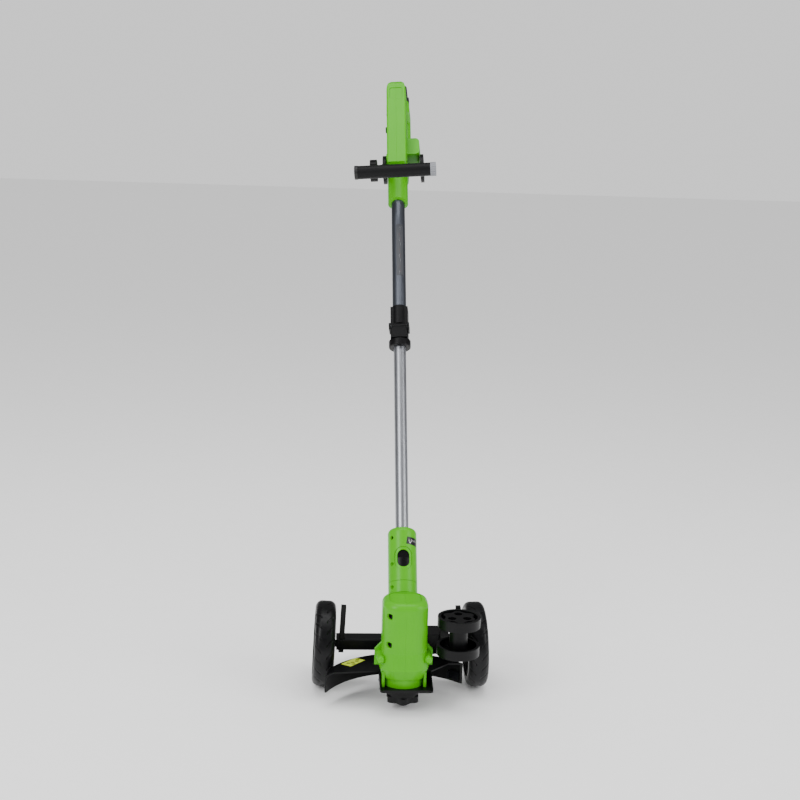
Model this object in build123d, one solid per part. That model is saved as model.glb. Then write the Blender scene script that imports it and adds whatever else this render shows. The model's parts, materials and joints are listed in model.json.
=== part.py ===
from build123d import *
import os
from math import cos, pi, radians, sin

# Lawn edger: a wheeled cutting head on a telescopic pole with a battery handle.
# Millimetres, +Z up, +Y from the head back to the user, +X to the right seen from the front.
# The head is drawn in a frame with the spindle on X = Y = 0 and the floor at Z = 0.
# The pole, neck and handle are drawn in the pole's frame: its origin is on the pole's axis at
# the swivel joint, z runs up the pole, and +y is the pole's underside.

# ---- overall layout
POLE_LEAN = 34.0          # from upright, leaning back to the user
SWIVEL_Y = 67.0           # where the pole's axis crosses the swivel joint, in the head's frame
SWIVEL_Z = 186.2
HANDLE_TWIST = -8.0       # the handle is turned this much about the pole
GRIP_T = 915.0            # middle of the hand grip, up the pole from the swivel joint
TOUCH = 0.02              # sliver that joins a shape to the wall it grows from
RUN = 0.05                # radial clearance of a running fit
GAP = 0.4                 # clearance between pieces that move past each other
WALL = 2.6                # moulded shell wall

# ---- motor housing, seen from above a rounded square
MOTOR_W = 73.0
MOTOR_CORNER = 28.0
MOTOR_TOP = 186.0
MOTOR_TOP_ROUND = 11.0
FLARE_TOP = 103.0
FLARE_Z = 77.0
FLARE_W = 80.0
FLARE_BOTTOM = 60.0
FLARE_FOOT_W = 70.0
BADGE_W = 51.0
BADGE_D = 47.0
BADGE_DEPTH = 1.4
EAR_X = 47.0              # side ears of the housing
EAR_T = 6.0
BOSS_R = 6.5
BOSS_X = 38.0
BOSS_Z = 92.0
BOSS_LEN = 26.0
GUSSET_X = 35.5
RECESS_R = 4.6            # screw recesses on the left side
RECESS_Z = (118.0, 165.0)
RECESS_Y = -30.0
SCREW_R = 1.9
RING_R = 34.0             # green ring under the flare
RING_BOTTOM = 41.0

# ---- spindle and cutting head
SHAFT_R = 4.0
BEARING_R = 11.0
BEARING_T = 7.0
CAN_R = 19.0
CAN_WALL = 2.5
CAN_LEN = 62.0
CAN_Z = 88.0
ROTOR_GAP = 0.8
WASHER_R = 14.0
WASHER_T = 2.0
SPOOL_R = 25.6
SPOOL_TOP = 38.0
SPOOL_SPLIT = 25.0        # where the housing meets the lobed cap
CAP_R = 25.2
CAP_LOBE = 2.8
CAP_LOBES = 6
CAP_BOTTOM = 14.6
DRUM_R = 20.5

# ---- guard
GUARD_R = 138.0           # plan radius of the skirt, about a centre ahead of the spindle
GUARD_C = -59.0
GUARD_TOP = 61.0
SKIRT_BOTTOM = 26.0
SKIRT_T = 2.6
LEFT_SWEEP = 66.0         # how far the skirt runs round each side from straight behind
RIGHT_SWEEP = 47.0
WING_FRONT = 4.0
TIP_ROUND = 20.0
DECK_LEFT = 38.5
DECK_RIGHT = 46.0
DECK_FRONT = -43.0
DECK_TOP = 45.6
DECK_T = 3.0
DECK_WALL = 2.2

# ---- crossbar, posts and wheels
BAR_HALF = 107.0
BAR_Y = 96.0
BAR_D = 32.0
BAR_Z = 74.4
BAR_H = 18.7
BAR_WALL = 3.2
CAMBER = 2.4
POST_X = 98.5
POST_Y = 86.0
POST_W = 8.6
POST_D = 9.0
POST_TOP = 142.0
POST_BOTTOM = 60.5
POST_SLIP = 0.35
AXLE_R = 6.0
AXLE_Y = 95.0
AXLE_Z = 71.0
WHEEL_X = 127.3
WHEEL_R = 70.5
TYRE_W = 34.0
RIM_R = 54.0
RIM_W = 27.0
HUB_R = 13.0
HUB_HALF = 15.5
TYRE_ROUND = 11.0

# ---- spare spool carrier on the crossbar
SLEEVE_X0 = 43.0
SLEEVE_X1 = 79.0
SLEEVE_T = 5.0
SLEEVE_TOP = 95.5
RINGS_X = 87.0
RINGS_Y = -5.0
RINGS_R = 34.5
RINGS_WALL = 5.0
RINGS_H = 16.0
UPPER_RING_TOP = 157.0
LOWER_RING_TOP = 110.0
PILLAR_R = 15.0
RING_FLOOR = 3.0

# ---- tilt hinge behind the motor housing
PIVOT_Y = 54.0
PIVOT_Z = 151.0
PIVOT_R = 4.0
LUG_R = 12.0
LUG_IN = 12.5
LUG_OUT = 20.5
TONGUE_HALF = 12.0
TONGUE_R = 11.0

# ---- neck and swivel
NECK_R = 24.0
NECK_LEN = 93.0
NECK_ROUND = 9.0
COLLAR_LEN = 20.0
SPIGOT_R = 14.0
SPIGOT_LEN = 12.0
FLANGE_R = 17.5
FLANGE_T = 3.0
FLOOR_T = 6.0             # neck floor between the collar and the spigot's flange
BUTTON_W = 19.0
BUTTON_LEN = 28.0
BUTTON_T0 = 23.5
NECK_RECESS_T = (29.0, 74.0)
NECK_RECESS_Y = -14.5

# ---- tubes and clamp
LOWER_R = 11.0
LOWER_WALL = 1.2
LOWER_T0 = 22.0
LOWER_T1 = 600.0
UPPER_R = 12.5
UPPER_T0 = 455.0
UPPER_T1 = 800.0
CLAMP_T0 = 432.0
CLAMP_T1 = 513.0
CLAMP_R = 15.6
CLAMP_FOOT_R = 19.6
CLAMP_FOOT_T = 14.0
CLAMP_CHEEK = 18.2        # half width over the lever's hinge cheeks
LEVER_PIVOT_T = 468.0
LEVER_PIVOT_Y = -17.0
LEVER_LEN = 30.0
LEVER_HALF = 14.0
LEVER_T = 4.0
LEVER_PIN_R = 2.5
LEAD_R = 7.0
LEAD_WALL = 3.0

# ---- handle, side profile in the pole's frame
NOSE_T0 = 733.0
NOSE_R = 18.8
NOSE_SLANT = 14.0
GRIP_HALF = 18.6
BODY_HALF = 22.5
BODY_ROUND = 7.0
FRONT_Y = -28.0
STEP_T = 811.0
LOOP_Y0 = 16.0
LOOP_Y1 = 52.0
LOOP_T0 = 868.0
LOOP_T1 = 957.0
REAR_Y = 76.0
BODY_T0 = 800.0
TOP_T = 1004.0
DOCK_T = 985.0
ARCH_RISE = 30.0
PAD_HALF = 12.7
PAD_T0 = 955.0
PAD_T1 = 982.0
POD_X = 42.0              # round pod on the right flank
POD_T0 = 846.0
POD_T1 = 882.0
POD_Y0 = 1.0
POD_Y1 = 44.0
LEFT_POD_X = 22.2

# ---- auxiliary handle
AUX_T = 826.0
AUX_Y = 22.0
AUX_EYE_R = 27.0
AUX_BOLT_R = 4.0
AUX_RIGHT_X = 43.0
AUX_LEFT_X = 22.8
AUX_ARM_T = 6.0
AUX_BAR_T = 741.0
AUX_BAR_Y = -100.0
AUX_BAR_R = 8.5
AUX_GRIP_R = 12.0
AUX_GRIP_HALF = 66.0
AUX_CAP_LEN = 10.0
AUX_END_LEN = 6.0
KNOB_X0 = 41.0
KNOB_X1 = 54.0
KNOB_R = 21.0
KNOB_FLUTES = 20

# ---- battery, trigger and buttons
BATT_T1 = 1040.0
BATT_Y0 = 24.0
BATT_REAR = 73.0
BATT_DOCK_HALF = 18.6
BATT_RISE = 26.0
BATT_WALL = 2.2
LID_T = 4.0
CELL_R = 9.1
CELL_LEN = 28.0
LATCH_T = 1003.0
LATCH_LEN = 14.0
LATCH_W = 12.0
TRIGGER_T0 = 872.0
TRIGGER_LEN = 34.0
TRIGGER_HALF = 6.5
TRIGGER_OUT = 10.0
TRIGGER_STROKE = 5.0
LOCK_T = 900.0
LOCK_R = 6.0
LOCK_OUT = 3.5

POLE = Location((0, SWIVEL_Y, SWIVEL_Z), (-POLE_LEAN, 0, 0))
HANDLE = POLE * Location((0, 0, 0), (0, 0, HANDLE_TWIST))
GRIP_CENTRE = (HANDLE * Location((0, (FRONT_Y + LOOP_Y0) / 2, GRIP_T))).position
TO_ROW = Location((-GRIP_CENTRE.X, -GRIP_CENTRE.Y, -GRIP_CENTRE.Z))


def span(x, y, z):
    """A block given by its low and high value along each axis."""
    block = Box(x[1] - x[0], y[1] - y[0], z[1] - z[0])
    return Pos((x[0] + x[1]) / 2, (y[0] + y[1]) / 2, (z[0] + z[1]) / 2) * block


def rod(radius, z0, z1, x=0.0, y=0.0):
    """A cylinder along Z from z0 to z1."""
    return Pos(x, y, (z0 + z1) / 2) * Cylinder(radius, z1 - z0)


def rod_x(radius, x0, x1, y, z):
    """A cylinder along X."""
    return Pos((x0 + x1) / 2, y, z) * Rot(0, 90, 0) * Cylinder(radius, x1 - x0)


def rod_y(radius, y0, y1, x, z):
    """A cylinder along Y."""
    return Pos(x, (y0 + y1) / 2, z) * Rot(90, 0, 0) * Cylinder(radius, y1 - y0)


def ring(outer, inner, z0, z1, x=0.0, y=0.0):
    return rod(outer, z0, z1, x, y) - rod(inner, z0 - 1, z1 + 1, x, y)


def halves(shape):
    """The left and right shells of a moulding that is split down the middle."""
    big = 2000
    left = shape & span((-big, 0), (-big, big), (-big, big))
    right = shape & span((0, big), (-big, big), (-big, big))
    return left, right


# ---------------------------------------------------------------- motor housing
def square_at(width, corner, z):
    return Pos(0, 0, z) * RectangleRounded(width, width, corner)


def motor_solid(inset):
    """The housing's outside, or its inside when inset by the wall."""
    cut = 2 * inset
    corner = MOTOR_CORNER - inset
    upper = extrude(square_at(MOTOR_W - cut, corner, FLARE_TOP), MOTOR_TOP - inset - FLARE_TOP)
    upper = fillet(upper.faces().sort_by(Axis.Z)[-1].edges(), MOTOR_TOP_ROUND - inset / 2)
    flare = loft([square_at(FLARE_W - cut, corner, FLARE_Z), square_at(MOTOR_W - cut, corner, FLARE_TOP)])
    foot = loft([square_at(FLARE_FOOT_W - cut, corner, FLARE_BOTTOM),
                 square_at(FLARE_W - cut, corner, FLARE_Z)])
    return upper + flare + foot


def rear_lugs():
    """Two ears behind the housing that carry the tilt pin."""
    lugs = []
    for side in (-1, 1):
        x = sorted((side * LUG_IN, side * LUG_OUT))
        arm = span(x, (MOTOR_W / 2 - WALL, PIVOT_Y), (PIVOT_Z - LUG_R, PIVOT_Z + LUG_R))
        lugs.append(arm + rod_x(LUG_R, x[0], x[1], PIVOT_Y, PIVOT_Z))
    return lugs


def side_ears():
    """Ears at the flare with a round boss ahead of each."""
    ears = []
    for side in (-1, 1):
        outline = Polyline((side * 30, FLARE_TOP + 8), (side * 36, FLARE_TOP + 8), (side * EAR_X, FLARE_TOP - 4),
                           (side * EAR_X, FLARE_Z - 4), (side * 30, FLARE_Z - 4), close=True)
        ear = Pos(0, EAR_T / 2, 0) * extrude(Plane.XZ * make_face(outline), EAR_T / 2, both=True)
        boss = rod_y(BOSS_R, -BOSS_LEN, EAR_T / 2, side * BOSS_X, BOSS_Z)
        boss += Pos(side * BOSS_X, -BOSS_LEN, BOSS_Z) * Sphere(BOSS_R)
        gusset = span(sorted((side * 31, side * GUSSET_X)), (-26, 28), (DECK_TOP, FLARE_Z - 6))
        ears.append(ear + boss + gusset)
    return ears


def motor_shells():
    body = motor_solid(0)
    for piece in rear_lugs() + side_ears():
        body += piece
    body -= motor_solid(WALL)
    body -= span((-60, 60), (-60, 60), (0, FLARE_BOTTOM)) & rod(RING_R, 0, FLARE_BOTTOM + 1)
    badge = Pos(0, 1, MOTOR_TOP) * extrude(RectangleRounded(BADGE_W, BADGE_D, 11), BADGE_DEPTH, both=True)
    body -= badge
    for z in RECESS_Z:
        body -= rod_x(RECESS_R, -60, -22, RECESS_Y, z)
        body -= rod_x(SCREW_R + RUN, -30, 12, RECESS_Y, z)
    body -= rod_x(PIVOT_R + RUN, -40, 40, PIVOT_Y, PIVOT_Z)
    body += ring(BEARING_R + 2, BEARING_R, CAN_Z + CAN_LEN + 2, MOTOR_TOP - BADGE_DEPTH - 0.5)
    return halves(body)


def motor_screws():
    """The two long screws that close the housing, seen in their recesses."""
    screws = []
    for z in RECESS_Z:
        screws.append(rod_x(SCREW_R * 1.7, -24.5, -22, RECESS_Y, z) + rod_x(SCREW_R, -22, 10, RECESS_Y, z))
    return Compound(screws)


def base_ring():
    """Ring under the flare; its floor holds the lower bearing."""
    body = rod(RING_R, RING_BOTTOM, FLARE_BOTTOM)
    body = chamfer(body.edges().group_by(Axis.Z)[0], 2.0)
    body -= rod(RING_R - WALL, RING_BOTTOM + WALL, FLARE_BOTTOM + 1)
    body += rod(BEARING_R + 3, RING_BOTTOM, FLARE_BOTTOM - 4)
    body -= rod(BEARING_R, FLARE_BOTTOM - 4 - BEARING_T, FLARE_BOTTOM)
    return body - rod(SHAFT_R + 2, 0, FLARE_BOTTOM)


def motor_can():
    body = ring(CAN_R, CAN_R - CAN_WALL, CAN_Z, CAN_Z + CAN_LEN)
    body += ring(CAN_R, SHAFT_R + 2, CAN_Z, CAN_Z + CAN_WALL)
    body += ring(CAN_R, SHAFT_R + 2, CAN_Z + CAN_LEN - CAN_WALL, CAN_Z + CAN_LEN)
    for side in (-1, 1):
        rib = sorted((side * (CAN_R - 1), side * (MOTOR_W / 2 - WALL)))
        body += span(rib, (-4, 4), (CAN_Z + 8, CAN_Z + 16))
    return body


def bearing(z0):
    return ring(BEARING_R, SHAFT_R + RUN, z0, z0 + BEARING_T)


def armature_shaft():
    rotor_r = CAN_R - CAN_WALL - ROTOR_GAP
    shaft = rod(SHAFT_R, SPOOL_SPLIT + 2, CAN_Z + CAN_LEN + 2 + BEARING_T)
    core = rod(rotor_r, CAN_Z + CAN_WALL + 6, CAN_Z + CAN_LEN - CAN_WALL - 14)
    commutator = rod(rotor_r * 0.6, CAN_Z + CAN_LEN - CAN_WALL - 11, CAN_Z + CAN_LEN - CAN_WALL - 3)
    return shaft + core + commutator


def drive_washer():
    return ring(WASHER_R, SHAFT_R, SPOOL_TOP, SPOOL_TOP + WASHER_T)


def lobed(radius, lobe, z0, height):
    """A knob outline that swells into even lobes, one of them at the front."""
    points = []
    steps = CAP_LOBES * 8
    for i in range(steps):
        turn = 2 * pi * i / steps
        r = radius + lobe * cos(CAP_LOBES * turn)
        points.append((r * sin(turn), -r * cos(turn)))
    outline = Spline(*points, periodic=True)
    return Pos(0, 0, z0) * extrude(make_face(outline), height)


def spool_housing():
    body = rod(SPOOL_R, SPOOL_SPLIT, SPOOL_TOP)
    body = fillet(body.edges().group_by(Axis.Z)[-1], 2.0)
    body -= rod(SPOOL_R - 3, SPOOL_SPLIT - 1, SPOOL_TOP - 3)
    return body - rod(SHAFT_R, 0, 100)


def spool_drum():
    body = ring(DRUM_R, SHAFT_R, SPOOL_SPLIT + 1, SPOOL_TOP - 4)
    return body - ring(DRUM_R + 1, DRUM_R - 5, SPOOL_SPLIT + 3, SPOOL_TOP - 6)


def spool_cap():
    body = lobed(CAP_R, CAP_LOBE, CAP_BOTTOM, SPOOL_SPLIT - CAP_BOTTOM)
    petals = CAP_LOBES // 2
    for i in range(petals):
        turn = 2 * pi * (i + 0.5) / petals
        body -= rod(6.5, CAP_BOTTOM - 1, CAP_BOTTOM + 3.5, 14 * sin(turn), 14 * cos(turn))
    return body


# ---------------------------------------------------------------- guard
def guard_point(radius, sweep):
    """A point on the skirt's plan circle; sweep is from straight behind, positive to the right."""
    return (radius * sin(radians(sweep)), GUARD_C + radius * cos(radians(sweep)))


def wing_solid(inset):
    """The wings' outer shape, or their hollow: an arc behind, and a left end that rounds down."""
    radius = GUARD_R - inset
    left = guard_point(radius, -LEFT_SWEEP)
    right = guard_point(radius, RIGHT_SWEEP)
    back = guard_point(radius, 0)
    arc = ThreePointArc(left, back, right)
    ahead = 60 if inset else 0
    front = [(right[0] - 24, right[1]), (DECK_RIGHT, WING_FRONT)]
    front += [(-DECK_LEFT, WING_FRONT), (left[0] + 5, left[1] - 3)]
    if inset:
        front = [right, *front, left]
    edges = Polyline(right, *[(x, y - ahead) for x, y in front], left)
    plan = Pos(0, 0, SKIRT_BOTTOM - inset) * extrude(make_face([arc, edges]), GUARD_TOP - SKIRT_BOTTOM)
    x0 = guard_point(GUARD_R, -LEFT_SWEEP)[0] - 3 + inset
    x1 = guard_point(GUARD_R, RIGHT_SWEEP)[0] + 60
    height = GUARD_TOP - inset
    section = Pos((x0 + x1) / 2, height / 2) * RectangleRounded(x1 - x0, height, TIP_ROUND - inset)
    return plan & extrude(Plane.XZ * section, 300, both=True)


def guard():
    half = (DECK_LEFT + DECK_RIGHT) / 2
    middle = (DECK_RIGHT - DECK_LEFT) / 2
    deck = span((middle - half, middle + half), (DECK_FRONT, WING_FRONT + 12), (DECK_TOP - DECK_T, DECK_TOP))
    front = deck.edges().filter_by(Axis.Z).group_by(Axis.Y)[0]
    deck = fillet(front, 5)
    for x in (-DECK_LEFT, DECK_RIGHT - DECK_WALL):
        side = Polyline((DECK_FRONT + 5, DECK_TOP - DECK_T), (DECK_FRONT + 5, DECK_TOP + 2),
                        (WING_FRONT, GUARD_TOP), (WING_FRONT + 12, GUARD_TOP),
                        (WING_FRONT + 12, DECK_TOP - DECK_T), close=True)
        deck += Pos(x, 0, 0) * extrude(Plane.YZ * make_face(side), DECK_WALL)
    deck += span((-DECK_LEFT, DECK_RIGHT), (WING_FRONT + 9, WING_FRONT + 12), (DECK_TOP - DECK_T, GUARD_TOP))
    deck += span((-DECK_LEFT + 5, DECK_RIGHT - 5), (DECK_FRONT, DECK_FRONT + 2),
                 (DECK_TOP - DECK_T, DECK_TOP + 1.5))
    body = wing_solid(0) - wing_solid(SKIRT_T) + deck
    body -= motor_solid(-GAP)
    body -= rod(RING_R + GAP, 0, 100)
    body -= span((-GUSSET_X - GAP, GUSSET_X + GAP), (-26 - GAP, 28 + GAP), (DECK_TOP, 100))
    return body


def guard_screws():
    """Screws up through the deck into the housing's gussets."""
    screws = []
    for side in (-1, 1):
        for y in (-24, 13):
            head = rod(3.4, DECK_TOP - DECK_T - 2.2, DECK_TOP - DECK_T, side * 35.6, y)
            screws.append(head)
    return Compound(screws)


def line_cutter():
    """Steel blade on the skirt that trims the line to length."""
    x, y = guard_point(GUARD_R - SKIRT_T, RIGHT_SWEEP - 6)
    blade = span((-9, 9), (-2, -0.5), (-7, 7))
    blade += span((-9, -6), (-9, -0.5), (-7, 7))
    return Pos(x, y, SKIRT_BOTTOM + 12) * Rot(0, 0, 6 - RIGHT_SWEEP) * blade


# ---------------------------------------------------------------- crossbar and wheels
def leaning(side, shape):
    """Stands a post or wheel at its camber, the top leaning in."""
    pivot = Location((side * POST_X, POST_Y, BAR_Z))
    return pivot * Rot(0, -side * CAMBER, 0) * Pos(-side * POST_X, -POST_Y, -BAR_Z) * shape


def crossbar():
    y = (BAR_Y - BAR_D / 2, BAR_Y + BAR_D / 2)
    z = (BAR_Z - BAR_H / 2, BAR_Z + BAR_H / 2)
    body = span((-BAR_HALF, BAR_HALF), y, z)
    body = chamfer(body.edges().filter_by(Axis.X), 1.6)
    for side in (-1, 1):
        x = sorted((side * 30, side * (POST_X - 14)))
        body -= span(x, (y[0] + BAR_WALL, y[1] - BAR_WALL), (z[0] - 1, z[1] - BAR_WALL))
        slot_w = POST_W / 2 + POST_SLIP
        slot_d = POST_D / 2 + POST_SLIP
        slot = span((side * POST_X - slot_w, side * POST_X + slot_w), (POST_Y - slot_d, POST_Y + slot_d),
                    (0, 200))
        reach = sorted((side * POST_X, side * (BAR_HALF + 20)))
        way = span(reach, (AXLE_Y - AXLE_R - GAP, AXLE_Y + AXLE_R + GAP), (0, AXLE_Z))
        way += rod_x(AXLE_R + GAP, reach[0], reach[1], AXLE_Y, AXLE_Z)
        body -= leaning(side, slot + way)
    return body


def crossbar_bracket():
    """Block that ties the crossbar to the back of the motor housing."""
    y0 = MOTOR_W / 2
    y1 = BAR_Y - BAR_D / 2
    body = span((-22, 22), (y0, y1), (BAR_Z - 8, BAR_Z + 8))
    body += span((-15, 15), (y0, y0 + 5), (BAR_Z - 8, FLARE_TOP + 14))
    return body - motor_solid(0)


def axle_post(side):
    post = span((side * POST_X - POST_W / 2, side * POST_X + POST_W / 2),
                (POST_Y - POST_D / 2, POST_Y + POST_D / 2), (POST_BOTTOM, POST_TOP))
    post = fillet(post.edges().group_by(Axis.Z)[-1], 1.2)
    inner = side * POST_X
    outer = side * (WHEEL_X + HUB_HALF + 1.2)
    axle = rod_x(AXLE_R, min(inner, outer), max(inner, outer), AXLE_Y, AXLE_Z)
    stop = sorted((side * (WHEEL_X - HUB_HALF - 3.2), side * (WHEEL_X - HUB_HALF - GAP)))
    axle += rod_x(AXLE_R + 3, stop[0], stop[1], AXLE_Y, AXLE_Z)
    head = sorted((side * (WHEEL_X + HUB_HALF + GAP), side * (WHEEL_X + HUB_HALF + 2.4)))
    axle += rod_x(AXLE_R + 4, head[0], head[1], AXLE_Y, AXLE_Z)
    return leaning(side, post + axle)


def wheel_rim(side):
    x = side * WHEEL_X
    body = rod_x(RIM_R, x - RIM_W / 2, x + RIM_W / 2, AXLE_Y, AXLE_Z)
    body -= rod_x(RIM_R - 4, x - RIM_W, x - 2.5, AXLE_Y, AXLE_Z)
    body -= rod_x(RIM_R - 4, x + 2.5, x + RIM_W, AXLE_Y, AXLE_Z)
    body += rod_x(HUB_R, x - HUB_HALF, x + HUB_HALF, AXLE_Y, AXLE_Z)
    for i in range(6):
        turn = radians(60 * i + 30)
        hole = rod_x(9, x - 20, x + 20, AXLE_Y + 32 * cos(turn), AXLE_Z + 32 * sin(turn))
        body -= hole
    body -= rod_x(AXLE_R + RUN, x - 40, x + 40, AXLE_Y, AXLE_Z)
    return leaning(side, body)


def tyre(side):
    x = side * WHEEL_X
    body = rod_x(WHEEL_R, x - TYRE_W / 2, x + TYRE_W / 2, AXLE_Y, AXLE_Z)
    body = fillet(body.edges().filter_by(GeomType.CIRCLE), TYRE_ROUND)
    body -= rod_x(RIM_R, x - TYRE_W, x + TYRE_W, AXLE_Y, AXLE_Z)
    return leaning(side, body)


# ---------------------------------------------------------------- spare spool carrier
def spool_carrier():
    bar_y = (BAR_Y - BAR_D / 2, BAR_Y + BAR_D / 2)
    bar_z = (BAR_Z - BAR_H / 2, BAR_Z + BAR_H / 2)
    sleeve = span((SLEEVE_X0, SLEEVE_X1), (bar_y[0] - SLEEVE_T, bar_y[1] + SLEEVE_T),
                  (bar_z[0] - 4, SLEEVE_TOP))
    sleeve = fillet(sleeve.edges().filter_by(Axis.Z), 3)
    web = span((SLEEVE_X1 - 14, SLEEVE_X1), (bar_y[0] - SLEEVE_T - 12, bar_y[0]),
               (SLEEVE_TOP - 24, UPPER_RING_TOP - 24))
    arm = span((RINGS_X - 10, RINGS_X + 6), (RINGS_Y, bar_y[0] - 4),
               (LOWER_RING_TOP + 4, UPPER_RING_TOP - RINGS_H - 4))
    body = sleeve + web + arm
    body += rod(PILLAR_R, LOWER_RING_TOP - RINGS_H, UPPER_RING_TOP - RINGS_H + 1, RINGS_X, RINGS_Y)
    for top in (LOWER_RING_TOP, UPPER_RING_TOP):
        body += ring(RINGS_R, RINGS_R - RINGS_WALL, top - RINGS_H, top, RINGS_X, RINGS_Y)
        body += rod(RINGS_R - 1, top - RINGS_H, top - RINGS_H + RING_FLOOR, RINGS_X, RINGS_Y)
    body -= span((0, 200), bar_y, bar_z)
    return body


def spare_spool():
    """A spare lobed spool that rests in the upper ring."""
    z0 = UPPER_RING_TOP - RINGS_H + RING_FLOOR
    body = lobed(CAP_R - 0.5, CAP_LOBE, z0, RINGS_H - RING_FLOOR - 1)
    petals = CAP_LOBES // 2
    for i in range(petals):
        turn = 2 * pi * i / petals
        body -= rod(6.8, z0 + 6, z0 + 40, 14 * sin(turn), 14 * cos(turn))
    return Pos(RINGS_X, RINGS_Y, 0) * body


# ---------------------------------------------------------------- swivel and neck (pole's frame)
def pivot_on_pole():
    """The tilt pin's place in the pole's frame: (y, t)."""
    lean = radians(POLE_LEAN)
    dy = PIVOT_Y - SWIVEL_Y
    dz = PIVOT_Z - SWIVEL_Z
    return dy * cos(lean) - dz * sin(lean), dy * sin(lean) + dz * cos(lean)


def swivel_collar():
    body = rod(NECK_R, -COLLAR_LEN, 0)
    body = fillet(body.edges().group_by(Axis.Z)[0], 1.5)
    body += rod(SPIGOT_R, -1, SPIGOT_LEN)
    body += rod(FLANGE_R, SPIGOT_LEN - FLANGE_T, SPIGOT_LEN)
    body -= rod(SPIGOT_R - 4, -COLLAR_LEN - 1, SPIGOT_LEN + 1)
    body -= rod_x(3.2, -40, -13, NECK_RECESS_Y, -COLLAR_LEN / 2)
    return body


def tilt_tongue():
    """Plug in the swivel collar that ends in the hinge's tongue."""
    y, t = pivot_on_pole()
    plug = rod(SPIGOT_R - 4, -COLLAR_LEN, -3)
    tongue = span((-TONGUE_HALF, TONGUE_HALF), (y - TONGUE_R, y + TONGUE_R), (t, -COLLAR_LEN))
    tongue += rod_x(TONGUE_R, -TONGUE_HALF, TONGUE_HALF, y, t)
    return plug + tongue - rod_x(PIVOT_R, -30, 30, y, t) - rod(4, t + 12, 0)


def tilt_pin():
    y, t = pivot_on_pole()
    return rod_x(PIVOT_R, -LUG_OUT - 1, LUG_OUT + 1, y, t)


def neck_solid(inset):
    body = rod(NECK_R - inset, GAP + (FLOOR_T if inset else 0), NECK_LEN - (12 if inset else 0))
    if inset:
        return body
    return fillet(body.edges().group_by(Axis.Z)[-1], NECK_ROUND)


def button_window(grow, t_grow=0.0):
    """The slot in the neck's front, rounded at both ends."""
    width = BUTTON_W + 2 * grow
    shape = Pos(0, BUTTON_T0 + BUTTON_LEN / 2) * RectangleRounded(width, BUTTON_LEN + 2 * t_grow, width / 2 - 0.5)
    return shape


def neck_shells():
    body = neck_solid(0) - neck_solid(WALL)
    body += ring(NECK_R - 1, LOWER_R, LOWER_T0, LOWER_T0 + 12)
    body -= rod(LOWER_R, LOWER_T0, NECK_LEN + 5)
    body -= rod(SPIGOT_R + RUN, 0, LOWER_T0 - 4)
    body -= rod(FLANGE_R + GAP, SPIGOT_LEN - FLANGE_T - GAP, SPIGOT_LEN + GAP)
    window = extrude(Plane.XZ * button_window(GAP, GAP), NECK_R + 2)
    body -= window - rod(LOWER_R + 1.6, 0, NECK_LEN)
    rim = extrude(Plane.XZ * button_window(5, 6), NECK_R + 2)
    body -= rim - rod(NECK_R - 1.0, 0, NECK_LEN)
    for t in NECK_RECESS_T:
        body -= rod_x(3.2, -40, -14, NECK_RECESS_Y, t)
    return halves(body)


def neck_screws():
    screws = []
    for t in (*NECK_RECESS_T, -COLLAR_LEN / 2):
        screws.append(rod_x(2.9, -16, -14, NECK_RECESS_Y, t))
    return screws


def swivel_button():
    """Slide button in the neck's front that frees the swivel."""
    y0 = -NECK_R + 1.2
    body = extrude(Plane.XZ * button_window(0), NECK_R - 1.2)
    body -= span((-40, 40), (y0 + 4.5, 40), (0, NECK_LEN))
    body = body & rod(NECK_R - 1.2, 0, NECK_LEN)
    step = span((-40, 40), (-NECK_R, y0 + 2.4), (BUTTON_T0 + BUTTON_LEN * 0.55, NECK_LEN))
    body -= step
    return body


def lower_tube():
    return ring(LOWER_R, LOWER_R - LOWER_WALL, LOWER_T0, LOWER_T1)


def coiled_lead():
    return ring(LEAD_R, LEAD_R - LEAD_WALL, LOWER_T0 + 30, LOWER_T1 - 10)


# ---------------------------------------------------------------- upper tube and clamp
def upper_tube():
    return ring(UPPER_R, LOWER_R + RUN, UPPER_T0, UPPER_T1)


def clamp_collar():
    body = rod(CLAMP_FOOT_R, CLAMP_T0, CLAMP_T0 + CLAMP_FOOT_T)
    body = fillet(body.edges().filter_by(GeomType.CIRCLE), 2.0)
    body += rod(CLAMP_R, CLAMP_T0 + 4, CLAMP_T1)
    body += span((-CLAMP_R, CLAMP_R), (-12, 17), (CLAMP_T0 + 8, CLAMP_T1 - 3))
    top = body.edges().group_by(Axis.Z)[-1]
    body = chamfer(top, 1.6)
    cheek_t = (LEVER_PIVOT_T - 6, LEVER_PIVOT_T + 6)
    for side in (-1, 1):
        x = sorted((side * (LEVER_HALF + GAP), side * CLAMP_CHEEK))
        body += span(x, (LEVER_PIVOT_Y, 4), cheek_t)
        body += rod_x(6, x[0], x[1], LEVER_PIVOT_Y, LEVER_PIVOT_T)
    body -= span((-LEVER_HALF - GAP, LEVER_HALF + GAP), (-30, -13.4), (CLAMP_T0 + 12, LEVER_PIVOT_T + 8))
    body -= rod(UPPER_R, UPPER_T0, CLAMP_T1 + 1)
    body -= rod(LOWER_R + RUN, CLAMP_T0 - 1, UPPER_T0 + 1)
    body -= rod_x(LEVER_PIN_R, -40, 40, LEVER_PIVOT_Y, LEVER_PIVOT_T)
    return body - span((-1, 1), (LOWER_R, 40), (CLAMP_T0 - 1, UPPER_T0 - 4))


def lever_pin():
    return rod_x(LEVER_PIN_R, -CLAMP_CHEEK, CLAMP_CHEEK, LEVER_PIVOT_Y, LEVER_PIVOT_T)


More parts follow.
